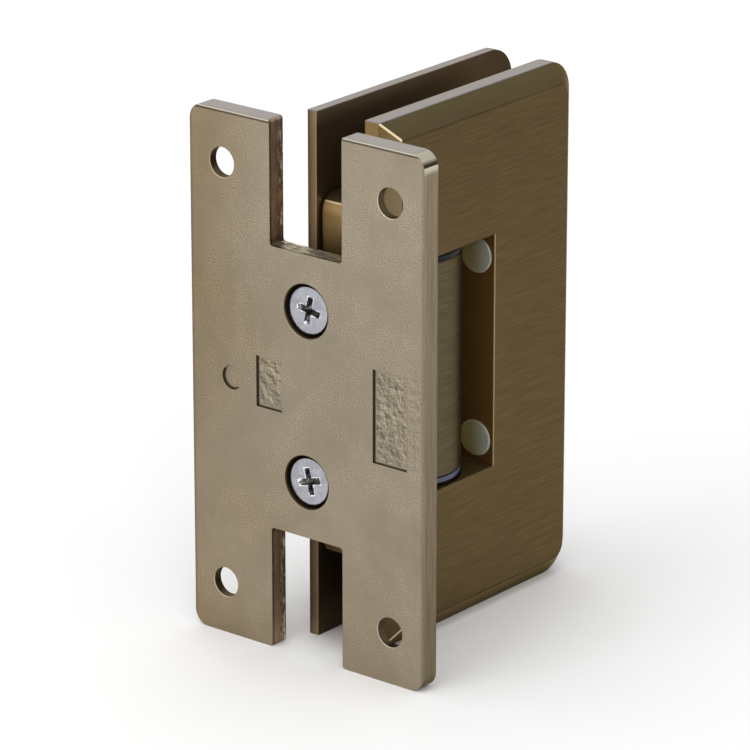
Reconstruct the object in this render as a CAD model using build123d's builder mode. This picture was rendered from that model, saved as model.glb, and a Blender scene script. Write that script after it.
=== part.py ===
from build123d import *
import math
import os

# Wall-mounted hinge for a glass shower door, millimetres.
# X points out of the wall, Y runs across the wall plate through the glass thickness,
# and Z runs up the pivot axis. The origin is the centre of the wall plate's back face.

# Wall plate, shaped like an H
plate_height = 89.0
plate_width = 47.5
plate_thickness = 3.8
plate_corner_radius = 2.6
plate_edge_break = 0.4
notch_width = 14.7
notch_depth = 20.7
notch_corner_radius = 0.6
leg_corner_radius = 0.6

# Wall screw holes, countersunk on the side that faces the door
wall_hole_diameter = 5.0
wall_hole_spacing_y = 34.2
wall_hole_spacing_z = 71.4
wall_countersink_diameter = 9.6

# Shallow plain fields sunk into the back of the plate
stamp_depth = 0.35
round_stamp_y = 15.4
round_stamp_diameter = 4.1
small_stamp_y = 7.7
small_stamp_z = 0.6
small_stamp_width = 5.3
small_stamp_height = 8.6
wide_stamp_y = -17.0
wide_stamp_width = 6.9
wide_stamp_height = 15.6

# Flat-head cross-recess screws
countersink_angle = 90.0
pivot_screw_spacing = 28.8
pivot_screw_diameter = 4.0
pivot_screw_head_diameter = 7.8
pivot_screw_length = 18.0
pivot_countersink_diameter = 9.2
cover_screw_diameter = 4.0
cover_screw_head_diameter = 7.6
cover_screw_length = 12.0
cover_countersink_diameter = 8.0
cross_width = 1.1
cross_span = 4.6
cross_bottom_span = 2.0
cross_depth = 1.8
screw_tip_share = 0.25
thread_clearance = 0.02
screw_tip_room = 1.4

# How far the cross of each screw is turned, in degrees
pivot_screw_turns = (-11.0, 15.0)
cover_screw_turns = (25.0, -38.0, 8.0, 62.0)

# Door leaves, one on each side of the glass
leaf_gap_to_plate = 5.4
leaf_length = 49.5
leaf_height = 89.0
leaf_corner_radius = 5.5
cover_reach = 0.9
glass_gap = 9.1
body_rim = 2.7
body_bevel_depth = 2.25
body_bevel_setback = 3.2
cover_rim = 1.8
cover_bevel_depth = 2.6
cover_bevel_setback = 3.7

# Boss that fills the cut-out of the glass
boss_length = 37.0
boss_height = 61.4
boss_corner_radius = 3.0
boss_clearance = 0.4

# Window that the pivot barrel turns in
window_length = 27.2
window_height = 39.8
window_edge_break = 0.2

# Pivot barrel and its neck
axis_from_plate = 21.8
barrel_radius = 8.8
barrel_edge_break = 0.3
neck_width = 13.6
neck_edge_break = 0.6
seat_height = 0.55
washer_thickness = 0.8
washer_radius = 8.7
end_play = 0.05

# Hinge pin, its bushes and the plug screw above it
pin_diameter = 6.0
pin_chamfer = 0.5
pin_seat_depth = 8.0
press_clearance = 0.01
running_clearance = 0.03
bush_wall = 1.5
bush_length = 9.0
barrel_bore_relief = 0.6
plug_screw_diameter = 7.0
plug_screw_length = 5.0
plug_socket_flats = 3.0
plug_socket_depth = 2.5
plug_screw_recess = 0.3

# Sprung plungers in the far wall of the window
plunger_radius = 3.1
plunger_length = 6.0
plunger_proud = 0.25
plunger_edge_wall = 0.7
plunger_spacing = 31.6
plunger_clearance = 0.06
plunger_edge_break = 0.2
plunger_bore_depth = 9.0
plunger_cup_depth = 4.0
plunger_cup_wall = 1.2
spring_clearance = 0.15
spring_wire = 0.5
spring_turns = 4

# Cover screws sit in the middle of the boss arms
cover_screw_near = 8.5
cover_screw_far = 4.5

# How far a cut runs past a face, and how far from an edge it is still picked by its place
cut_overrun = 1.0
pick_room = 0.1

# Places worked out from the sizes above
leaf_start_x = plate_thickness + leaf_gap_to_plate
leaf_end_x = leaf_start_x + leaf_length
cover_start_x = leaf_start_x - cover_reach
notch_middle_z = (plate_height - notch_depth) / 2
half_gap = glass_gap / 2
body_thickness = body_rim + body_bevel_depth
body_face_y = -(half_gap + body_thickness)
cover_thickness = cover_rim + cover_bevel_depth
cover_face_y = half_gap + cover_thickness
boss_side_y = half_gap - boss_clearance
boss_end_x = leaf_start_x + boss_length
window_end_x = leaf_start_x + window_length
axis_x = plate_thickness + axis_from_plate
seat_z = window_height / 2 - seat_height
washer_z = seat_z - end_play - washer_thickness
barrel_top_z = washer_z - end_play
bush_bottom_z = barrel_top_z - bush_length
pin_radius = pin_diameter / 2
pin_hole_radius = pin_radius + press_clearance
bush_bore_radius = pin_radius + running_clearance
bush_radius = bush_bore_radius + bush_wall
arm_middle_z = (window_height / 2 + boss_height / 2) / 2
plug_top_z = boss_height / 2 - plug_screw_recess
plug_bottom_z = plug_top_z - plug_screw_length
pin_bottom_z = -(window_height / 2 + pin_seat_depth)
pin_top_z = plug_bottom_z - end_play
plunger_hole_radius = plunger_radius + plunger_clearance
plunger_y = body_face_y + plunger_edge_wall + plunger_hole_radius
plunger_start_x = window_end_x - plunger_proud
plunger_end_x = plunger_start_x + plunger_length
plunger_bore_end_x = window_end_x + plunger_bore_depth
plunger_cup_radius = plunger_radius - plunger_cup_wall
cover_screw_xs = (leaf_start_x + cover_screw_near, boss_end_x - cover_screw_far)
half_angle = math.radians(countersink_angle / 2)

# Planes that look out of each face
back_face = Plane(origin=(0, 0, 0), x_dir=(0, 1, 0), z_dir=(-1, 0, 0))
front_face = Plane.YZ.offset(plate_thickness)
toward_cover = Plane(origin=(0, 0, 0), x_dir=(1, 0, 0), z_dir=(0, 1, 0))
toward_body = Plane.XZ


def bevel_angle(setback, depth):
    """Draft of a bevel that comes in by setback over its depth, in degrees."""
    return math.degrees(math.atan2(setback, depth))


def head_depth(countersink_diameter, head_diameter):
    """How deep the top of a head lies when its cone just clears the countersink."""
    return (countersink_diameter - head_diameter) / 2 / math.tan(half_angle) - thread_clearance


def cross_recess(turn):
    """Cross recess whose arms run down a cone, with its mouth at the origin, turned in degrees."""
    with BuildPart() as recess:
        with BuildSketch():
            Rectangle(cross_span, cross_width, rotation=turn)
            Rectangle(cross_width, cross_span, rotation=turn)
        extrude(amount=-cross_depth)
        with Locations((0, 0, -cross_depth / 2)):
            Cone(cross_bottom_span / 2, cross_span / 2, cross_depth, mode=Mode.INTERSECT)
    return recess.part


def flat_head_screw(plane, diameter, head_diameter, length, turn):
    """Flat-head screw with its head's top on the plane, pointing against its normal."""
    cone_depth = (head_diameter - diameter) / 2 / math.tan(half_angle)
    with BuildPart() as screw:
        with BuildSketch(Plane.XZ):
            with BuildLine():
                Polyline(
                    (0, 0),
                    (head_diameter / 2, 0),
                    (diameter / 2, -cone_depth),
                    (diameter / 2, -length + diameter * screw_tip_share),
                    (diameter * screw_tip_share, -length),
                    (0, -length),
                    close=True,
                )
            make_face()
        revolve(axis=Axis.Z)
        add(cross_recess(turn), mode=Mode.SUBTRACT)
    return plane.location * screw.part


def leaf_outline(start_x):
    """Outline of a door leaf: square at the wall side, rounded at the far corners."""
    with BuildSketch() as outline:
        with Locations(((start_x + leaf_end_x) / 2, 0)):
            Rectangle(leaf_end_x - start_x, leaf_height)
        fillet(outline.vertices().group_by(Axis.X)[-1], leaf_corner_radius)
    return outline.sketch


body_outline = leaf_outline(leaf_start_x)
cover_outline = leaf_outline(cover_start_x)

# The window is open towards the wall, so that the neck can swing through it
with BuildSketch() as window_outline:
    with Locations((plate_thickness, 0)):
        Rectangle(
            window_length + leaf_gap_to_plate, window_height, align=(Align.MIN, Align.CENTER)
        )

# H-shaped wall plate
with BuildPart() as wall_plate:
    with BuildSketch(Plane.YZ) as plate_outline:
        Rectangle(plate_width, plate_height)
        with Locations((0, notch_middle_z), (0, -notch_middle_z)):
            Rectangle(notch_width, notch_depth, mode=Mode.SUBTRACT)
        outer_corners = plate_outline.vertices().filter_by(lambda corner: abs(corner.X) > notch_width)
        fillet(outer_corners, plate_corner_radius)
        notch_floors = plate_outline.vertices().filter_by(lambda corner: abs(corner.Y) < notch_middle_z)
        fillet(notch_floors, notch_corner_radius)
        leg_tips = plate_outline.vertices().filter_by(
            lambda corner: abs(corner.X) < notch_width and abs(corner.Y) > notch_middle_z
        )
        fillet(leg_tips, leg_corner_radius)
    extrude(amount=plate_thickness)
    chamfer(wall_plate.faces().sort_by(Axis.X)[-1].outer_wire().edges(), plate_edge_break)
    with Locations(front_face):
        with GridLocations(wall_hole_spacing_y, wall_hole_spacing_z, 2, 2):
            CounterSinkHole(
                wall_hole_diameter / 2,
                wall_countersink_diameter / 2,
                counter_sink_angle=countersink_angle,
            )
    with Locations(back_face):
        with GridLocations(0, pivot_screw_spacing, 1, 2):
            CounterSinkHole(
                pivot_screw_diameter / 2 + thread_clearance,
                pivot_countersink_diameter / 2,
                counter_sink_angle=countersink_angle,
            )
    with BuildSketch(Plane.YZ):
        with Locations((round_stamp_y, 0)):
            Circle(round_stamp_diameter / 2)
        with Locations((small_stamp_y, small_stamp_z)):
            Rectangle(small_stamp_width, small_stamp_height)
        with Locations((wide_stamp_y, 0)):
            Rectangle(wide_stamp_width, wide_stamp_height)
    extrude(amount=stamp_depth, mode=Mode.SUBTRACT)

# Pivot barrel with the neck that is screwed to the wall plate
with BuildPart() as pivot_barrel:
    with BuildSketch(Plane.XY.offset(-barrel_top_z)):
        with Locations((axis_x, 0)):
            Circle(barrel_radius)
    extrude(amount=2 * barrel_top_z)
    chamfer(pivot_barrel.edges().filter_by(GeomType.CIRCLE), barrel_edge_break)
    with BuildSketch(Plane.XY.offset(-barrel_top_z)) as neck_outline:
        with Locations((plate_thickness, 0)):
            Rectangle(axis_from_plate, neck_width, align=(Align.MIN, Align.CENTER))
        chamfer(neck_outline.vertices().group_by(Axis.X)[0], neck_edge_break)
    extrude(amount=2 * barrel_top_z)
    with Locations((axis_x, 0, 0)):
        Cylinder(
            pin_radius + barrel_bore_relief,
            2 * (barrel_top_z + cut_overrun),
            mode=Mode.SUBTRACT,
        )
    bush_middle_z = (barrel_top_z + bush_bottom_z) / 2
    with Locations((axis_x, 0, bush_middle_z), (axis_x, 0, -bush_middle_z)):
        Cylinder(bush_radius + press_clearance, bush_length, mode=Mode.SUBTRACT)
    with BuildSketch(front_face):
        with GridLocations(0, pivot_screw_spacing, 1, 2):
            Circle(pivot_screw_diameter / 2 + thread_clearance)
    extrude(amount=pivot_screw_length - plate_thickness + screw_tip_room, mode=Mode.SUBTRACT)

# Thick leaf: rim, bevelled face, boss for the glass cut-out and the barrel's window
with BuildPart() as hinge_body:
    with BuildSketch(toward_body.offset(half_gap)):
        add(body_outline)
    extrude(amount=body_rim)
    with BuildSketch(toward_body.offset(half_gap + body_rim)):
        add(body_outline)
    extrude(amount=body_bevel_depth, taper=bevel_angle(body_bevel_setback, body_bevel_depth))
    with BuildSketch(toward_body.offset(-boss_side_y)):
        with Locations((leaf_start_x + boss_length / 2, 0)):
            RectangleRounded(boss_length, boss_height, boss_corner_radius)
    extrude(amount=boss_side_y + half_gap + body_rim)
    with BuildSketch(toward_body):
        add(window_outline.sketch)
    extrude(amount=2 * body_thickness + glass_gap, both=True, mode=Mode.SUBTRACT)
    face_edges = hinge_body.faces().sort_by(Axis.Y)[0].edges()
    window_rim = face_edges.filter_by_position(
        Axis.Z, -window_height / 2 - pick_room, window_height / 2 + pick_room
    )
    window_rim = window_rim.filter_by_position(Axis.X, leaf_start_x, window_end_x + pick_room)
    chamfer(window_rim, window_edge_break)
    for side in (1, -1):
        with BuildSketch(Plane.XY.offset(side * window_height / 2)):
            with Locations((axis_x, 0)):
                Circle(washer_radius)
            with Locations((axis_x, boss_side_y)):
                Rectangle(
                    2 * washer_radius + cut_overrun,
                    washer_radius + boss_side_y + cut_overrun,
                    align=(Align.CENTER, Align.MAX),
                    mode=Mode.INTERSECT,
                )
        extrude(amount=-side * seat_height)
    with Locations((axis_x, 0, pin_bottom_z)):
        Cylinder(
            pin_hole_radius,
            boss_height / 2 - pin_bottom_z + cut_overrun,
            align=(Align.CENTER, Align.CENTER, Align.MIN),
            mode=Mode.SUBTRACT,
        )
    with Locations((axis_x, 0, plug_bottom_z)):
        Cylinder(
            plug_screw_diameter / 2 + thread_clearance,
            plug_screw_length + cut_overrun,
            align=(Align.CENTER, Align.CENTER, Align.MIN),
            mode=Mode.SUBTRACT,
        )
    with BuildSketch(Plane.YZ.offset(window_end_x)):
        with Locations((plunger_y, 0)):
            with GridLocations(0, plunger_spacing, 1, 2):
                Circle(plunger_hole_radius)
    extrude(amount=plunger_bore_depth, mode=Mode.SUBTRACT)
    with BuildSketch(toward_body.offset(-boss_side_y)):
        with Locations(*[(x, z) for x in cover_screw_xs for z in (arm_middle_z, -arm_middle_z)]):
            Circle(cover_screw_diameter / 2 + thread_clearance)
    extrude(
        amount=cover_screw_length - cover_thickness - boss_clearance + screw_tip_room,
        mode=Mode.SUBTRACT,
    )

# Thin leaf on the other side of the glass
with BuildPart() as cover_plate:
    with BuildSketch(toward_cover.offset(half_gap)):
        add(cover_outline)
    extrude(amount=cover_rim)
    with BuildSketch(toward_cover.offset(half_gap + cover_rim)):
        add(cover_outline)
    extrude(amount=cover_bevel_depth, taper=bevel_angle(cover_bevel_setback, cover_bevel_depth))
    with BuildSketch(toward_cover):
        add(window_outline.sketch)
    extrude(amount=2 * cover_face_y, mode=Mode.SUBTRACT)
    with Locations(toward_cover.offset(cover_face_y)):
        with Locations(*[(x, z) for x in cover_screw_xs for z in (arm_middle_z, -arm_middle_z)]):
            CounterSinkHole(
                cover_screw_diameter / 2 + thread_clearance,
                cover_countersink_diameter / 2,
                counter_sink_angle=countersink_angle,
            )

# Hinge pin, pressed into the boss and turning in the bushes of the barrel
with BuildPart() as hinge_pin:
    with Locations((axis_x, 0, pin_bottom_z + end_play)):
        Cylinder(
            pin_radius,
            pin_top_z - pin_bottom_z - end_play,
            align=(Align.CENTER, Align.CENTER, Align.MIN),
        )
    chamfer(hinge_pin.edges().filter_by(GeomType.CIRCLE), pin_chamfer)

# Plug screw that closes the pin's hole
with BuildPart() as pin_plug_screw:
    with Locations((axis_x, 0, plug_bottom_z)):
        Cylinder(
            plug_screw_diameter / 2,
            plug_screw_length,
            align=(Align.CENTER, Align.CENTER, Align.MIN),
        )
    chamfer(pin_plug_screw.edges().filter_by(GeomType.CIRCLE), pin_chamfer)
    with BuildSketch(Plane.XY.offset(plug_top_z)):
        with Locations((axis_x, 0)):
            RegularPolygon(plug_socket_flats / 2, 6, major_radius=False)
    extrude(amount=-plug_socket_depth, mode=Mode.SUBTRACT)


def barrel_bush():
    """Upper bush, flush with the end of the barrel."""
    with BuildPart() as bush:
        with BuildSketch(Plane.XY.offset(bush_bottom_z)):
            with Locations((axis_x, 0)):
                Circle(bush_radius)
                Circle(bush_bore_radius, mode=Mode.SUBTRACT)
        extrude(amount=bush_length)
    return bush.part


def thrust_washer():
    """Upper washer between the barrel's end and the seat in the window."""
    with BuildPart() as washer:
        with BuildSketch(Plane.XY.offset(washer_z)):
            with Locations((axis_x, 0)):
                Circle(washer_radius)
                Circle(bush_bore_radius + running_clearance, mode=Mode.SUBTRACT)
        extrude(amount=washer_thickness)
    return washer.part


def plunger():
    """Upper plunger: a cup with its closed end towards the barrel."""
    with BuildPart() as cup:
        with BuildSketch(Plane.YZ.offset(plunger_start_x)):
            with Locations((plunger_y, plunger_spacing / 2)):
                Circle(plunger_radius)
        extrude(amount=plunger_length)
        chamfer(cup.edges().sort_by(Axis.X)[0], plunger_edge_break)
        with BuildSketch(Plane.YZ.offset(plunger_end_x)):
            with Locations((plunger_y, plunger_spacing / 2)):
                Circle(plunger_cup_radius)
        extrude(amount=-plunger_cup_depth, mode=Mode.SUBTRACT)
    return cup.part


def plunger_spring():
    """Upper coil spring, from the bottom of the plunger's cup to the end of its bore."""
    start_x = plunger_end_x - plunger_cup_depth + spring_wire / 2
    coil_length = plunger_bore_end_x - spring_wire / 2 - start_x
    with BuildPart() as spring:
        with BuildLine() as coil:
            Helix(
                pitch=coil_length / spring_turns,
                height=coil_length,
                radius=plunger_cup_radius - spring_clearance - spring_wire / 2,
                center=(start_x, plunger_y, plunger_spacing / 2),
                direction=(1, 0, 0),
            )
        with BuildSketch(Plane(origin=coil.line @ 0, x_dir=(1, 0, 0), z_dir=coil.line % 0)):
            Rectangle(spring_wire, spring_wire)
        sweep(path=coil.line, is_frenet=True)
    return spring.part


# Pieces that come in an upper and a lower one, mirrored about the middle of the hinge
paired_pieces = {
    "barrel_bush": barrel_bush(),
    "washer": thrust_washer(),
    "plunger": plunger(),
    "plunger_spring": plunger_spring(),
}

screws = {}
pivot_head_x = head_depth(pivot_countersink_diameter, pivot_screw_head_diameter)
for (level, side), turn in zip((("upper", 1), ("lower", -1)), pivot_screw_turns):
    head_place = (pivot_head_x, 0, side * pivot_screw_spacing / 2)
    screws[f"pivot_screw_{level}"] = flat_head_screw(
        Plane(origin=head_place, x_dir=back_face.x_dir, z_dir=back_face.z_dir),
        pivot_screw_diameter,
        pivot_screw_head_diameter,
        pivot_screw_length,
        turn,
    )
cover_head_y = cover_face_y - head_depth(cover_countersink_diameter, cover_screw_head_diameter)
cover_screw_places = [
    (f"cover_screw_{level}_{end}", x, z)
    for level, z in (("upper", arm_middle_z), ("lower", -arm_middle_z))
    for end, x in zip(("near", "far"), cover_screw_xs)
]
for (name, x, z), turn in zip(cover_screw_places, cover_screw_turns):
    screws[name] = flat_head_screw(
        Plane(origin=(x, cover_head_y, z), x_dir=toward_cover.x_dir, z_dir=toward_cover.z_dir),
        cover_screw_diameter,
        cover_screw_head_diameter,
        cover_screw_length,
        turn,
    )

pieces = {
    "wall_plate": wall_plate.part,
    "pivot_barrel": pivot_barrel.part,
    "hinge_body": hinge_body.part,
    "cover_plate": cover_plate.part,
    "hinge_pin": hinge_pin.part,
    "pin_plug_screw": pin_plug_screw.part,
}
pieces.update(screws)
for name, upper in paired_pieces.items():
    pieces[f"{name}_upper"] = upper
    pieces[f"{name}_lower"] = mirror(upper, about=Plane.XY)

os.makedirs("parts", exist_ok=True)
for name, piece in pieces.items():
    piece.label = name
    export_step(piece, f"parts/{name}.step")
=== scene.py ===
import math

import bmesh
import bpy
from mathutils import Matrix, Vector


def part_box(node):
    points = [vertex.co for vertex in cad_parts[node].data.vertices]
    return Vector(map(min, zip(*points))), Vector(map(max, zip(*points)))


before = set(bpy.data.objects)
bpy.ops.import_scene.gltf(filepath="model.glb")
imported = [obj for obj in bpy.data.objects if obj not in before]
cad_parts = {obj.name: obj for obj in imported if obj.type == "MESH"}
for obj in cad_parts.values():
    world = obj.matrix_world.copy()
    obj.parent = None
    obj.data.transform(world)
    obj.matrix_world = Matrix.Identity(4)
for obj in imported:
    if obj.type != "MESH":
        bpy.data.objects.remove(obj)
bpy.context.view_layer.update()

# Boxes of the pieces, in metres
millimetre = 0.001
plate_low, plate_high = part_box("wall_plate")
body_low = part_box("hinge_body")[0]
cover_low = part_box("cover_plate")[0]

# The wall plate, in millimetres
plate_thickness = plate_high.x / millimetre
half_width = plate_high.y / millimetre
half_height = plate_high.z / millimetre
corner_radius = 2.6
notch_half_width = 7.35
notch_floor_z = 23.8
hole_y, hole_z = 17.1, 35.7
hole_radius = 2.5
hole_sink_radius = 4.8
pivot_screw_z = 14.4
pivot_sink_radius = 4.6

# Fields on the plate's back, in millimetres: their borders along Y, then along Z.
# Their marks stay within marked_depth of the back.
small_field = ((5.05, 10.35), (-3.7, 4.9))
wide_field = ((-20.45, -13.55), (-7.8, 7.8))
worn_strip = ((-23.0, -20.5), (-8.5, 8.5))
round_field_y = 15.4
round_field_radius = 2.05
marked_depth = 0.5

# The leaves, the window and the barrel, in millimetres
body_end_x = body_low.x / millimetre
cover_end_x = cover_low.x / millimetre
body_face_y, body_rim_y, body_inner_y = -9.5, -7.25, -4.55
cover_face_y, cover_inner_y = 8.95, 4.55
bevel_setback = 3.2
boss_half_height = 30.7
boss_end_y = 4.15
window_end_x = 36.4
window_half_height = 19.9
barrel_x = 25.6
barrel_radius = 8.8

# Cross recesses of the screws, in millimetres and degrees
cross_half_span = 2.3
cross_half_width = 0.55
pivot_recess_x = 0.74
cover_recess_y = 8.71
upper_cross_turn = -11
lower_cross_turn = 15

# The photograph's camera
image_side = 750
focal_pixels = 4999
camera_yaw = math.radians(39.05)
camera_pitch = math.radians(19.55)
camera_distance = 791.3 * millimetre
aim_point = Vector((7.8, -7.7, 3.4)) * millimetre
sensor_width = 36.0

# What the world gives to matt surfaces; the camera and reflections see it white
matt_world = 0.8

# Colours of the wall plate, linear
plate_light = (0.310, 0.263, 0.193)
plate_brown = (0.247, 0.184, 0.109)
plate_side = (0.292, 0.238, 0.156)
# A painted reflection of the light above, for the plate's top face
plate_top_sheen = (0.297, 0.285, 0.280)
plate_notch = (0.300, 0.205, 0.125)
plate_notch_floor = (0.300, 0.268, 0.205)
# Painted glints on the torn notch walls
plate_fleck_glint = (0.85, 0.76, 0.62)
# A painted highlight, for the plate's top arris and its upper corner
plate_glint = (0.58, 0.52, 0.42)
plate_edge_tint = (0.40, 0.37, 0.31)
# Painted shade and a painted highlight, in bands round the plate's upper corner
corner_shade = (0.035, 0.028, 0.016)
corner_highlight = (0.44, 0.41, 0.33)
# Painted shade for the walls of the wall screw holes
hole_shade_brown = (0.085, 0.066, 0.040)
# Painted deep shade, in the countersinks and at the barrel's seats
painted_deep_shade = (0.006, 0.004, 0.003)
# A painted highlight on the countersinks' outer rims
sink_olive_highlight = (0.070, 0.048, 0.022)

# Colours of the leaves and the window
bronze = (0.114, 0.078, 0.037)
# A painted reflection of the light above, for the leaves' top faces
bronze_top_sheen = (0.205, 0.215, 0.245)
# A shaded copy of the bronze for the bevels, as painted light
bevel_bronze = (0.095, 0.0725, 0.036)
# A painted highlight, for the mitre and the boss's shoulder
arris_highlight = (0.95, 0.78, 0.50)
# Lit copies of the bronze, painted lighter for the wall-side ends
boss_lit_gold = (0.42, 0.285, 0.125)
body_end_lit_high = (0.22, 0.145, 0.058)
body_end_lit_low = (0.250, 0.188, 0.098)
cover_end_lit = (0.46, 0.335, 0.205)
# Painted shade for the leaves' inner faces in the glass gap
inner_shade_brown = (0.061, 0.040, 0.024)
inner_lit = (0.25, 0.195, 0.125)
# Painted lit copies of the bronze for the window's walls and floor
window_lit_brown = (0.215, 0.115, 0.034)
window_floor = (0.185, 0.130, 0.060)
# A painted highlight for the window's chamfered arris
window_arris_highlight = (0.30, 0.235, 0.14)
leaf_edge_tint = (0.60, 0.50, 0.36)

# Colours of the small parts and the floor
barrel_brown = (0.107, 0.086, 0.053)
barrel_edge_tint = (0.35, 0.30, 0.22)
zinc_light = (0.42, 0.42, 0.46)
zinc_dark = (0.33, 0.33, 0.365)
zinc_glint = (0.95, 0.95, 0.97)
# Painted shade inside the cross recesses
recess_shade = (0.11, 0.10, 0.085)
nylon_pale = (0.36, 0.375, 0.31)
nylon_warm = (0.215, 0.170, 0.062)
washer_blue = (0.052, 0.070, 0.125)
# A painted shade copy of the washer nylon, for the upper washer
washer_shade = (0.012, 0.016, 0.018)
steel_light = (0.42, 0.42, 0.43)
steel_dark = (0.252, 0.252, 0.258)
brass_light = (0.47, 0.34, 0.13)
brass_dark = (0.329, 0.238, 0.091)
floor_pale = (0.92, 0.92, 0.92)


class Value:
    """A number or a socket, with operators that add Math nodes."""

    def __init__(self, sheet, source):
        self.sheet = sheet
        self.source = source

    def math(self, operation, *others):
        values = [self.source] + [getattr(other, "source", other) for other in others]
        return self.sheet.node("ShaderNodeMath", {"operation": operation}, dict(enumerate(values)))

    def __add__(self, other):
        return self.math("ADD", other)

    __radd__ = __add__

    def __sub__(self, other):
        return self.math("SUBTRACT", other)

    def __rsub__(self, other):
        return Value(self.sheet, other).math("SUBTRACT", self)

    def __mul__(self, other):
        return self.math("MULTIPLY", other)

    __rmul__ = __mul__

    def __pow__(self, other):
        return self.math("POWER", other)

    def __abs__(self):
        return self.math("ABSOLUTE")

    def sign(self):
        return self.math("SIGN")

    def above(self, limit):
        return self.math("GREATER_THAN", limit)

    def below(self, limit):
        return self.math("LESS_THAN", limit)

    def inside(self, low, high):
        """1 between low and high, else 0."""
        return self.above(low) * self.below(high)

    def between(self, low, high):
        """0 below low, 1 above high, smooth between them."""
        return self.sheet.node(
            "ShaderNodeMapRange",
            {"interpolation_type": "SMOOTHSTEP"},
            {"Value": self, "From Min": low, "From Max": high},
        )

    def larger(self, other):
        return self.math("MAXIMUM", other)


class Sheet:
    """A node tree, with one method that adds any node."""

    def __init__(self, tree):
        self.tree = tree

    def node(self, kind, settings=None, inputs=None, output=0):
        """Adds a node: its settings first, then the values or links of its sockets."""
        made = self.tree.nodes.new(kind)
        for name, value in (settings or {}).items():
            setattr(made, name, value)
        for name, value in (inputs or {}).items():
            self.feed(made.inputs[name], value)
        return Value(self, made.outputs[output])

    def feed(self, socket, value):
        """Links a value to a socket, or sets the socket to a number, a colour or a vector."""
        source = getattr(value, "source", value)
        if isinstance(source, bpy.types.NodeSocket):
            self.tree.links.new(source, socket)
        elif socket.type == "RGBA":
            socket.default_value = (*source, 1.0)
        else:
            socket.default_value = source


class Finish(Sheet):
    """One material, with its nodes."""

    def __init__(self, name):
        self.material = bpy.data.materials.new(name)
        self.material.use_nodes = True
        super().__init__(self.material.node_tree)
        self.shader = self.tree.nodes["Principled BSDF"]

    def set(self, name, value):
        """Feeds one of the shader's inputs."""
        self.feed(self.shader.inputs[name], value)

    def place(self):
        """The object's own coordinates, in metres."""
        return self.node("ShaderNodeTexCoord", output="Object")

    def millimetres(self):
        """The three coordinates of the place, in millimetres."""
        scale = (1 / millimetre,) * 3
        scaled = self.node("ShaderNodeMapping", inputs={"Vector": self.place(), "Scale": scale})
        return [self.node("ShaderNodeSeparateXYZ", inputs={0: scaled}, output=axis) for axis in range(3)]

    def noise(self, scale, detail=3.0, roughness=0.5, shift=(0, 0, 0)):
        """Noise with a scale in patterns per metre, or one for each axis, shifted by parts of one."""
        scales = scale if isinstance(scale, tuple) else (scale,) * 3
        scaled = {"Vector": self.place(), "Scale": scales, "Location": shift}
        return self.node(
            "ShaderNodeTexNoise",
            inputs={
                "Vector": self.node("ShaderNodeMapping", inputs=scaled),
                "Scale": 1.0,
                "Detail": detail,
                "Roughness": roughness,
            },
        )

    def raised(self, scale, detail=2.0, roughness=0.5):
        """The light and dark sides of small bumps lit from above, about zero."""
        lit = self.noise(scale, detail, roughness)
        return lit - self.noise(scale, detail, roughness, shift=(0, 0.18, -0.22))

    def mix(self, share, low, high):
        """Blends two colours by a share."""
        inputs = {"Factor": share, 6: low, 7: high}
        return self.node("ShaderNodeMix", {"data_type": "RGBA"}, inputs, output=2)

    def dim(self, colour, share):
        """A colour times a share."""
        inputs = {0: colour, "Scale": share}
        return self.node("ShaderNodeVectorMath", {"operation": "SCALE"}, inputs)

    def bump(self, height, strength, distance, edge=0.2 * millimetre):
        """Relief over edges that are rounded off by a radius."""
        rounded = self.node("ShaderNodeBevel", {"samples": 4}, {"Radius": edge})
        return self.node(
            "ShaderNodeBump",
            inputs={
                "Height": height,
                "Strength": strength,
                "Distance": distance,
                "Normal": rounded,
            },
        )


def away_from(across, up):
    """Distance from a point where both are 0."""
    return (across * across + up * up) ** 0.5


def within(y, z, field, margin=0.0):
    """1 inside the borders of a field, moved inwards by a margin."""
    (near, far), (low, high) = field
    return y.inside(near + margin, far - margin) * z.inside(low + margin, high - margin)


def walls_in_shade(y, z, field):
    """1 on and beside the two walls of a sunk field that face away from the light."""
    far, low = field[0][1], field[1][0]
    beside = y.above(far - 0.33).larger(z.below(low + 0.2))
    return within(y, z, field, -0.05) * beside


def field_shadows(x, y, z):
    """1 at the shaded walls of the three fields sunk into the plate's back."""
    across = y - round_field_y
    ring = away_from(across, z).inside(round_field_radius - 0.33, round_field_radius + 0.07)
    ring = ring * (across - z).above(0.4)
    shadows = walls_in_shade(y, z, small_field).larger(walls_in_shade(y, z, wide_field))
    return shadows.larger(ring) * x.inside(0.015, marked_depth)


def hole_rim_highlights(y, z):
    """Painted highlights on the left and lower parts of the rims of the four wall screw holes."""
    across = (abs(y) - hole_y) * y.sign()
    up = (abs(z) - hole_z) * z.sign()
    rims = away_from(across, up).inside(hole_radius - 0.08, hole_radius + 0.16)
    return 0.9 * rims * (across - up).between(0.8, 2.6)


def plate_hues_and_painted_light(finish, y, z, clouds):
    """Two warm hues in clouds, spread as painted light: browner and darker towards +Y and low down,
    paler at one upper corner as a painted soft highlight.
    """
    brown = (0.66 * y.between(0, 24)).larger(0.28 * (z * -1).between(0, 46))
    brown = brown + 0.20 * y.between(4, 22) * z.between(18, 42)
    brown = brown - 0.25 * z.between(15, 40) * y.below(0)
    return finish.mix(brown + 1.2 * clouds - 0.6, plate_light, plate_brown)


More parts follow.
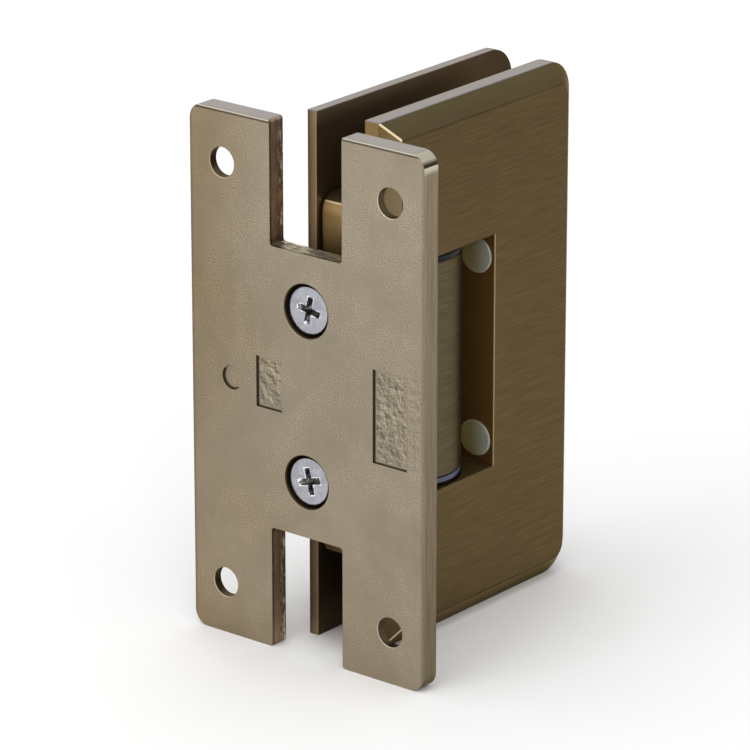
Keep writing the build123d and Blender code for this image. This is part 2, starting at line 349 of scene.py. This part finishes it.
def plate_skin(finish, x, y, z):
    """Lightness and relief of the plate's faces: patches, cast skin, worn fields and edges, with the
    light and dark sides of the small bumps painted into the lightness, painted highlights on the hole
    rims, painted shade along the edges and painted shadows in the sunk fields.
    """
    patches = finish.noise(330, detail=4.0, roughness=0.6)
    blooms = finish.noise(120)
    skin = finish.raised(3700, roughness=0.6)
    dents = finish.raised(900)
    grit = finish.noise(5200, detail=1.0)
    pits = finish.noise(2600, detail=1.0).between(0.66, 0.74)
    fields = within(y, z, small_field, 0.5).larger(within(y, z, wide_field, 0.5))
    fields = fields * x.below(marked_depth)
    strip = within(y, z, worn_strip) * x.below(marked_depth)
    worn = finish.raised(850, detail=3.0, roughness=0.6) * (fields * 2.9 + strip)
    upper = z.between(-16, 22) * (1 - z.between(30, 40))
    rough = (patches + blooms * 0.8 + upper * 0.10).between(0.88, 1.04).larger(strip)
    middle = 1 - abs(z).between(8, 34)
    # The skin, dents and worn fields add the painted light and shade of their bumps to the tone
    tone = 0.73 + 0.18 * patches + 0.38 * blooms + (0.35 + 1.8 * rough) * skin + 0.12 * dents
    tone = tone + (0.40 + 1.3 * rough) * (grit - 0.5) - 0.15 * pits * rough
    tone = tone + worn + hole_rim_highlights(y, z) - 0.06 * middle - 0.08 * fields
    # Painted shade in thin lines along the plate's upright edges and just below its top edge
    upright_edges = 0.22 * abs(y).between(half_width - 0.65, half_width - 0.25)
    top_edge = 0.62 * z.inside(half_height - 0.65, half_height - 0.32)
    edges = upright_edges.larger(top_edge)
    tone = tone * (1 - edges) * (1 - 0.75 * field_shadows(x, y, z))
    return tone, skin * (0.25 + rough) + patches * 0.3


def plate_corner(finish, z, colour):
    """Bands of painted shade and painted highlight round the plate's upper corner, over its side's
    colour.
    """
    top = half_height
    curve = finish.mix(z.between(top - 1.7, top - 0.9), corner_shade, corner_highlight)
    colour = finish.mix(z.above(top - 2.05), colour, curve)
    return finish.mix(z.below(top - 2.05) * z.between(top - 3.5, top - 2.3), colour, plate_glint)


def notch_walls(finish, x, z, torn, floor):
    """Sheared metal: streaks across the thickness and darker borders, with bright flecks as painted
    glints and painted shade low on the walls next to the notch floor.
    """
    fleck = torn.between(0.54, 0.58) * x.between(2.0, 3.0)
    scar = abs(torn - 0.46).below(0.022) * x.between(1.2, 2.2).larger(floor)
    notch_foot_shade = (1 - abs(z).between(notch_floor_z + 0.2, notch_floor_z + 1.8)) * (1 - floor)
    shade = (0.2 + 1.6 * torn + 3.2 * floor * (torn - 0.5)) * (1 - 0.6 * scar)
    shade = shade * (0.45 + 0.55 * x.between(0.3, 0.7)) * (1 - 0.5 * x.between(3.1, 3.5))
    shade = shade * (1 - 0.55 * notch_foot_shade)
    colour = finish.dim(finish.mix(floor, plate_notch, plate_notch_floor), shade)
    return finish.mix(fleck, colour, plate_fleck_glint)


def satin_plate_finish():
    """Plated wall plate: warm satin with a cast skin, sawn sides and torn notch walls."""
    finish = Finish("satin_plate")
    x, y, z = finish.millimetres()
    across, up = abs(y), abs(z)
    clouds = finish.noise((70, 70, 55), detail=4.0)
    tone, relief = plate_skin(finish, x, y, z)
    colour = finish.dim(plate_hues_and_painted_light(finish, y, z, clouds), tone)
    # Painted highlight along the arris just below the plate's top face
    top_arris = x.below(0.4) * z.inside(half_height - 0.3, half_height - 0.04)
    colour = finish.mix(top_arris, colour, plate_glint)

    corner_y, corner_z = half_width - corner_radius, half_height - corner_radius
    rounded = away_from(across - corner_y, up - corner_z).above(corner_radius - 0.07)
    rounded = rounded * across.above(corner_y) * up.above(corner_z)
    in_notch = across.below(notch_half_width + 0.35) * up.above(notch_floor_z - 0.3)
    flat = across.above(half_width - 0.05).larger(up.above(half_height - 0.1))
    through = x.inside(0.03, plate_thickness - 0.03)
    walls = through * flat.larger(in_notch).larger(rounded)
    lines = finish.noise((5000, 5000, 110), roughness=0.6)
    # Sawn streaks on the sides, with painted shade darker towards the bottom and a painted highlight
    # next to the back face
    side_lines_and_shade = (0.74 + 0.0028 * z) * (0.4 + 1.2 * lines) * (1.2 - 0.2 * x.between(0.2, 0.8))
    colour = finish.mix(walls, colour, finish.dim(plate_side, side_lines_and_shade))
    # The top face takes a painted reflection of the light above
    colour = finish.mix(z.above(half_height - 0.1), colour, plate_top_sheen)
    # Painted shade and highlights on the rounded upper corner
    corner = walls * y.below(-corner_y) * z.inside(half_height - 3.9, half_height - 0.1)
    colour = finish.mix(corner, colour, plate_corner(finish, z, colour))

    notch = walls * in_notch * up.below(half_height - 0.2)
    floor = up.below(notch_floor_z + 0.1)
    torn_down = finish.noise((1500, 1500, 420), detail=5.0, roughness=0.75)
    torn_across = finish.noise((2600, 420, 2600), detail=5.0, roughness=0.8)
    torn = torn_down + floor * (torn_across - torn_down)
    colour = finish.mix(notch, colour, notch_walls(finish, x, z, torn, floor))

    # Painted shade in the pivot screws' countersinks, with a painted olive highlight on their outer rim
    from_screw = away_from(y, up - pivot_screw_z)
    sunk = from_screw.below(pivot_sink_radius - 0.02) * x.above(0.04)
    sunk_rim = from_screw.between(pivot_sink_radius - 0.35, pivot_sink_radius - 0.05)
    colour = finish.mix(sunk, colour, finish.mix(sunk_rim, painted_deep_shade, sink_olive_highlight))
    # Painted shade on the walls of the four screw holes and their countersinks, streaked by the torn
    # pattern
    bored = through * away_from(across - hole_y, up - hole_z).below(hole_sink_radius + 0.05)
    colour = finish.mix(bored, colour, finish.dim(hole_shade_brown, 0.5 + torn))

    finish.set("Base Color", colour)
    finish.set("Roughness", 0.34 + 0.14 * clouds)
    finish.set("Metallic", 0.8 + 0.2 * sunk)
    finish.set("Specular Tint", plate_edge_tint)
    relief = relief + walls * lines * 0.3 + notch * torn * 1.2
    finish.set("Normal", finish.bump(relief, 0.30, 0.06 * millimetre))
    return finish.material


def on_bevel(y):
    """1 over the width of the thick leaf's bevel, which the thin leaf doesn't reach."""
    return y.inside(body_face_y + 0.03, body_rim_y - 0.02)


def leaf_end(finish, x, y, z, end_x, high_colour, low_colour):
    """Mask and colour of a leaf's wall-side end, its bevel there and the boss's golden end, all painted
    lighter than the bronze as painted light, with painted shade and highlights on them.
    """
    up = abs(z)
    rise, step = half_height - up, x - end_x
    bevel_end = on_bevel(y) * (rise - step).above(0) * step.below(bevel_setback)
    boss = y.inside(body_inner_y + 0.05, boss_end_y + 0.2) * up.below(boss_half_height + 0.8)
    boss = boss * step.below(bevel_setback)
    mask = step.below(0.05).larger(bevel_end).larger(boss)

    # The boss's end is painted lighter towards its top and bottom ends, painted darker on its rounded
    # ends as shade, and has a painted highlight at its shoulder
    low_down = up.between(20.5, 27)
    rounded = up.above(boss_half_height - 1.05)
    gold = finish.dim(boss_lit_gold, 0.35 + 0.65 * low_down - 0.8 * rounded)
    shoulder = up.inside(boss_half_height - 1.3, boss_half_height - 1.05)
    gold = finish.mix(shoulder, gold, arris_highlight)
    # Painted shade across the thin leaf's end, a painted highlight strip along its inner edge, and
    # painted shade towards the middle of the height
    shade = (1 - 0.62 * y.between(4.9, 6.7) + 0.35 * y.inside(4.5, 4.78)) * (0.75 + 0.25 * low_down)
    colour = finish.dim(finish.mix(up.between(38, 44), low_colour, high_colour), shade)
    # Painted light gradient: the ends lighter towards the top
    colour = finish.dim(finish.mix(boss, colour, gold), 0.80 + 0.006 * z)
    return mask, colour


def leaf_outside(finish, y, z):
    """Colour of a leaf's outer face and its upper and lower bevels, with painted light: the bevels a
    shaded copy of the bronze, the lower one painted lighter towards the face, painted shade along the
    crease where the face meets the bevels, and the whole darker towards the top.
    """
    rise = half_height - abs(z)
    bevel = on_bevel(y) * rise.below(bevel_setback)
    back = y.between(body_face_y, body_face_y + 2.2)
    slope = 1 + z.below(0) * (0.9 - 0.8 * back) + 0.15 * z.above(0) * back
    crease = y.below(body_face_y + 0.04) * rise.inside(bevel_setback - 0.1, bevel_setback + 0.22)
    colour = finish.mix(bevel, bronze, finish.dim(bevel_bronze, slope))
    return finish.dim(colour, (0.99 - 0.0016 * z) * (1 - 0.35 * crease))


def window_walls(finish, x, y, z):
    """Colour of the walls of the window: painted lighter than the bronze as painted light and darker
    deeper in as painted shade, with painted shade at the seats round the barrel.
    """
    seats = away_from(x - barrel_x, y).below(barrel_radius + 0.05)
    seats = seats * abs(z).inside(window_half_height - 0.7, window_half_height + 0.3)
    colour = finish.dim(window_lit_brown, 0.48 + 1.12 * (y * -1).between(-2, 9))
    colour = finish.mix(z.below(-window_half_height + 0.1), colour, window_floor)
    return finish.mix(seats, colour, painted_deep_shade)


def leaf_finish(name, end_x, inner_y, end_high, end_low):
    """Brushed bronze leaf; its wall-side end faces are painted brighter as painted light and its inner
    face is painted dark as shade in the glass gap.
    """
    finish = Finish(name)
    x, y, z = finish.millimetres()
    up = abs(z)
    end, end_colour = leaf_end(finish, x, y, z, end_x, end_high, end_low)
    colour = finish.mix(end, leaf_outside(finish, y, z), end_colour)

    step = x - end_x
    # Painted highlight along the mitre between the top bevel and the end bevel
    mitre = on_bevel(y) * step.below(bevel_setback) * abs(half_height - up - step).below(0.28)
    colour = finish.mix(mitre, colour, arris_highlight)
    # Painted highlight on the chamfered arris at the window's far end
    broken_edge = x.inside(window_end_x - 0.01, window_end_x + 0.15)
    broken_edge = broken_edge * y.inside(body_face_y - 0.02, body_face_y + 0.21)
    broken_edge = broken_edge * up.below(window_half_height + 0.1)
    colour = finish.mix(broken_edge, colour, window_arris_highlight)
    # Painted reflection of the light above on the leaves' top faces
    colour = finish.mix(z.above(half_height - 0.1), colour, bronze_top_sheen)

    # The inner face is painted dark as shade in the glass gap, with a painted light gradient and a
    # painted lit band near the top
    inner = abs(y - inner_y).below(0.05)
    glow = (0.55 + 0.46 * z.between(-20, 44)) * (2.35 - 1.5 * x.between(36, 58))
    lit = z.between(41.5, 44.6) * (1 - x.between(22, 54))
    colour = finish.mix(inner, colour, finish.mix(lit, finish.dim(inner_shade_brown, glow), inner_lit))
    window = x.inside(end_x + 0.05, window_end_x + 0.1) * up.below(window_half_height + 0.07)
    window = window * y.inside(body_face_y + 0.22, boss_end_y + 0.2)
    colour = finish.mix(window, colour, window_walls(finish, x, y, z))

    fine = finish.noise((170, 4600, 4600), roughness=0.6)
    clouds = finish.noise(40, detail=2.0)
    plain = y.above(body_face_y + 0.06) * y.below(cover_face_y - 0.05)
    tone = 0.90 + (1 - 0.65 * plain) * (1.05 * fine - 0.525) + 0.20 * clouds
    finish.set("Base Color", finish.dim(colour, tone))
    finish.set("Roughness", 0.32 + 0.12 * fine)
    finish.set("Metallic", 0.85)
    finish.set("Specular Tint", leaf_edge_tint)
    finish.set("Normal", finish.bump(fine, 0.25, 0.04 * millimetre))
    return finish.material


def barrel_finish():
    """Turned barrel, with fine short marks round it, and a painted dark reflection of the window's far
    wall along one side.
    """
    finish = Finish("turned_barrel")
    x, y = finish.millimetres()[:2]
    marks = finish.noise((260, 260, 4200), roughness=0.65)
    # Painted dark reflection of the window's far wall along one side of the barrel
    far_wall_reflection = (0.63 * (x - barrel_x) - 0.776 * y).between(7.6, 8.7)
    tone = (0.35 + 1.3 * marks) * (1 - 0.28 * far_wall_reflection)
    finish.set("Base Color", finish.dim(barrel_brown, tone))
    finish.set("Roughness", 0.34 + 0.12 * marks)
    finish.set("Metallic", 0.95)
    finish.set("Specular Tint", barrel_edge_tint)
    finish.set("Normal", finish.bump(marks, 0.3, 0.04 * millimetre))
    return finish.material


def inside_cross(across, up, turn, margin):
    """1 inside a cross recess, turned in degrees and widened by a margin."""
    cosine, sine = math.cos(math.radians(turn)), math.sin(math.radians(turn))
    one = abs(across * cosine - up * sine)
    other = abs(across * sine + up * cosine)
    level = one.below(cross_half_span + margin) * other.below(cross_half_width + margin)
    upright = one.below(cross_half_width + margin) * other.below(cross_half_span + margin)
    return level.larger(upright)


def zinc_plating(finish, depth, cross=0.0):
    """Smooth, slightly blue zinc; where the depth is above 0 it is a recess in painted shade, with
    painted reflections in spots.

    The cross is where painted glints fall round the rim of the recess.
    """
    # The recess's painted shade starts a little below the rim in places, leaving its lip lit
    lit_lip_depth = 0.3 * finish.noise(1200).between(0.45, 0.6)
    mottle = finish.noise(700, roughness=0.6)
    spots = finish.noise(1300, shift=(0.3, 0.6, 0.1))
    colour = finish.mix(mottle.between(0.35, 0.65), zinc_dark, zinc_light)
    # Painted glints round the rim of the cross
    colour = finish.mix(spots.between(0.45, 0.55) * cross, colour, zinc_glint)
    recess = finish.mix(spots.between(0.52, 0.6), recess_shade, zinc_light)
    finish.set("Base Color", finish.mix((depth - lit_lip_depth).above(0), colour, recess))
    finish.set("Roughness", 0.30 + 0.1 * mottle)
    finish.set("Metallic", 0.85)
    finish.set("Normal", finish.bump(mottle, 0.2, 0.04 * millimetre))
    return finish.material


def pivot_screw_finish(name, middle_z, turn):
    """Zinc of a screw in the plate's back, whose recess opens towards the wall."""
    finish = Finish(name)
    x, y, z = finish.millimetres()
    return zinc_plating(finish, x - pivot_recess_x, inside_cross(y, z - middle_z, turn, 0.14))


def cover_screw_finish():
    """Zinc of the cover's screws, whose recesses open away from the glass."""
    finish = Finish("cover_zinc")
    y = finish.millimetres()[1]
    return zinc_plating(finish, cover_recess_y - y)


def nylon_finish(name, front, deep, through, shine=0.5):
    """Nylon with a soft glow below its surface; its colour changes from front to deep along Y, paler at
    the front as painted reflection and darker deep in as painted shade.
    """
    finish = Finish(name)
    y = finish.millimetres()[1]
    cloud = finish.noise(260)
    finish.set("Base Color", finish.mix(y.between(-8.6, -4.4), front, deep))
    finish.set("Roughness", 0.32 + 0.1 * cloud)
    finish.set("Specular IOR Level", shine)
    finish.set("Subsurface Weight", through)
    finish.set("Subsurface Radius", (0.0012, 0.0013, 0.0010))
    finish.set("Normal", finish.bump(cloud, 0.15, 0.04 * millimetre))
    return finish.material


def turned_finish(name, light, dark):
    """Turned metal, with fine rings round the pivot axis."""
    finish = Finish(name)
    rings = finish.noise((120, 120, 2600), detail=2.0)
    finish.set("Base Color", finish.mix(rings.between(0.3, 0.7), dark, light))
    finish.set("Roughness", 0.25 + 0.15 * rings)
    finish.set("Metallic", 1.0)
    finish.set("Normal", finish.bump(rings, 0.3, 0.03 * millimetre))
    return finish.material


def floor_finish():
    """Pale matt floor."""
    finish = Finish("pale_floor")
    finish.set("Base Color", floor_pale)
    finish.set("Roughness", 0.9)
    finish.set("Specular IOR Level", 0.1)
    return finish.material


def dress_nodes():
    """Gives each node the finish of the longest entry that its name starts with."""
    steel = turned_finish("pin_steel", steel_light, steel_dark)
    finishes = {
        "wall_plate": satin_plate_finish(),
        "hinge_body": leaf_finish(
            "brushed_body", body_end_x, body_inner_y, body_end_lit_high, body_end_lit_low
        ),
        "cover_plate": leaf_finish(
            "brushed_cover", cover_end_x, cover_inner_y, cover_end_lit, cover_end_lit
        ),
        "pivot_barrel": barrel_finish(),
        "hinge_pin": steel,
        "pin_plug_screw": steel,
        "plunger_spring": steel,
        "plunger": nylon_finish("plunger_nylon", nylon_pale, nylon_warm, 0.35),
        "washer": nylon_finish("washer_nylon", washer_blue, washer_blue, 0.1),
        # The upper washer takes a shaded copy of the washer nylon, painted dark as shade
        "washer_upper": nylon_finish("shaded_nylon", washer_shade, washer_shade, 0.0, shine=0.1),
        "barrel_bush": turned_finish("bush_brass", brass_light, brass_dark),
        "pivot_screw_upper": pivot_screw_finish("upper_pivot_zinc", pivot_screw_z, upper_cross_turn),
        "pivot_screw_lower": pivot_screw_finish("lower_pivot_zinc", -pivot_screw_z, lower_cross_turn),
        "cover_screw": cover_screw_finish(),
    }
    for name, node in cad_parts.items():
        entry = max((key for key in finishes if name.startswith(key)), key=len)
        node.data.materials.clear()
        node.data.materials.append(finishes[entry])


def make_floor():
    """A wide floor under the plate's lowest edge."""
    grid = bmesh.new()
    bmesh.ops.create_grid(grid, x_segments=1, y_segments=1, size=3.0)
    bmesh.ops.translate(grid, vec=Vector((0, 0, plate_low.z)), verts=grid.verts)
    mesh = bpy.data.meshes.new("floor")
    grid.to_mesh(mesh)
    grid.free()
    mesh.materials.append(floor_finish())
    floor = bpy.data.objects.new("floor", mesh)
    bpy.context.scene.collection.objects.link(floor)


def area_lamp(name, place, size, power):
    """A soft lamp that points at the middle of the hinge."""
    light = bpy.data.lights.new(name, "AREA")
    light.shape = "RECTANGLE"
    light.size, light.size_y = size
    light.energy = power
    lamp = bpy.data.objects.new(name, light)
    lamp.location = place
    toward = Vector((0.03, 0, 0)) - lamp.location
    lamp.rotation_euler = toward.to_track_quat("-Z", "Y").to_euler()
    bpy.context.scene.collection.objects.link(lamp)


def light_the_room():
    """A world that is white to the camera and in reflections, and four soft lamps."""
    world = bpy.data.worlds.new("studio")
    bpy.context.scene.world = world
    world.use_nodes = True
    sheet = Sheet(world.node_tree)
    background = sheet.tree.nodes["Background"]
    strength = Value(sheet, matt_world)
    for ray in ("Is Camera Ray", "Is Glossy Ray", "Is Transmission Ray"):
        strength = sheet.node("ShaderNodeLightPath", output=ray).larger(strength)
    sheet.feed(background.inputs["Color"], (1, 1, 1))
    sheet.feed(background.inputs["Strength"], strength)
    area_lamp("left_softbox", (-0.9, 0.15, 0.5), (0.6, 0.9), 3)
    area_lamp("camera_softbox", (-0.7, -0.75, 0.55), (0.25, 0.6), 1.5)
    area_lamp("back_softbox", (0.85, 0.7, 0.45), (1.0, 0.4), 2)
    area_lamp("top_softbox", (-0.1, 0.0, 1.1), (0.6, 0.6), 2)


def place_camera():
    """Looks down at the hinge from the wall side, as the photograph does."""
    level = math.cos(camera_pitch)
    forward = Vector(
        (level * math.cos(camera_yaw), level * math.sin(camera_yaw), -math.sin(camera_pitch))
    )
    data = bpy.data.cameras.new("camera")
    data.sensor_width = sensor_width
    data.lens = focal_pixels / image_side * sensor_width
    data.clip_start = 0.05
    camera = bpy.data.objects.new("camera", data)
    camera.location = aim_point - forward * camera_distance
    camera.rotation_euler = forward.to_track_quat("-Z", "Y").to_euler()
    bpy.context.scene.collection.objects.link(camera)
    bpy.context.scene.camera = camera


dress_nodes()
make_floor()
light_the_room()
place_camera()
bpy.context.scene.view_settings.view_transform = "Standard"
